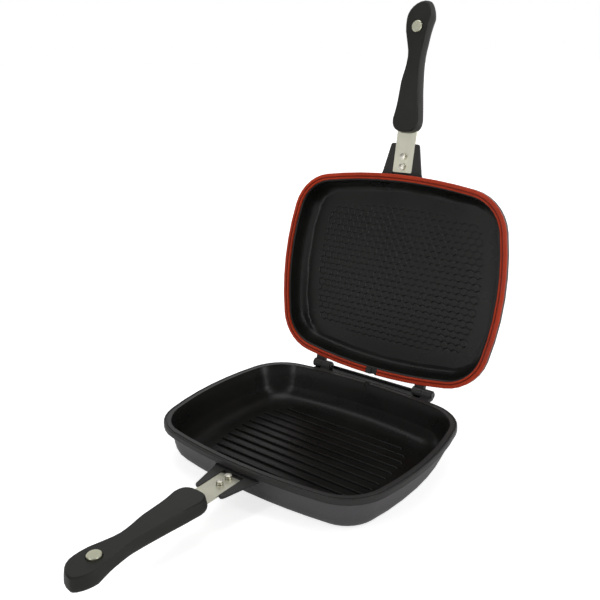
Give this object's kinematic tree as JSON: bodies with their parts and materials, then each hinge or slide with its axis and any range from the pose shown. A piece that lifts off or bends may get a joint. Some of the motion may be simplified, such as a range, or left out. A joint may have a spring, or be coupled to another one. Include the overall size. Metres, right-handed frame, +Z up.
{
  "type": "double sided flip pan",
  "caption": "Hinged frying pan: a deep ribbed pan and a shallow gasketed pan that shut over each other, each with a riveted strap, a grip and a magnet.",
  "frame": {"origin": "centre of the deep pan's flat base, on the surface that it stands on", "axes": "+X along the hinge, +Y to the rear where the hinge is, +Z up; the lower grip points to -Y"},
  "size_m": [0.302, 0.5487, 0.4819],
  "materials": {
    "cast_coating": "cast aluminium under a charcoal non-stick coating",
    "strap_steel": "brushed",
    "rivet_metal": "satin",
    "grip_resin": "matte moulded resin",
    "pin_steel": "darkened",
    "magnet_plating": "nickel plated",
    "silicone": "matte silicone"
  },
  "bodies": {
    "base": {"lower_pan": "cast_coating", "lower_strap": "strap_steel", "lower_rivet_front": "rivet_metal", "lower_rivet_rear": "rivet_metal", "lower_grip": "grip_resin", "lower_grip_screw": "pin_steel", "lower_magnet": "magnet_plating"},
    "pins": {"hinge_pin_left": "pin_steel", "hinge_pin_right": "pin_steel"},
    "lid": {"upper_pan": "cast_coating", "rim_gasket": "silicone", "upper_strap": "strap_steel", "upper_rivet_front": "rivet_metal", "upper_rivet_rear": "rivet_metal", "upper_grip": "grip_resin", "upper_grip_screw": "pin_steel", "upper_magnet": "magnet_plating"}
  },
  "joints": [
    {"name": "lid_hinge", "type": "hinge", "parent": "base", "child": "pins", "pos_m": [0, 0.1268, 0.04655], "axis": [1, 0, 0], "range_deg": [0, 101.16]},
    {"name": "lid_slide", "type": "slide", "parent": "pins", "child": "lid", "axis": [-1, 0, 0], "range_m": [0, 0.0125]}
  ]
}
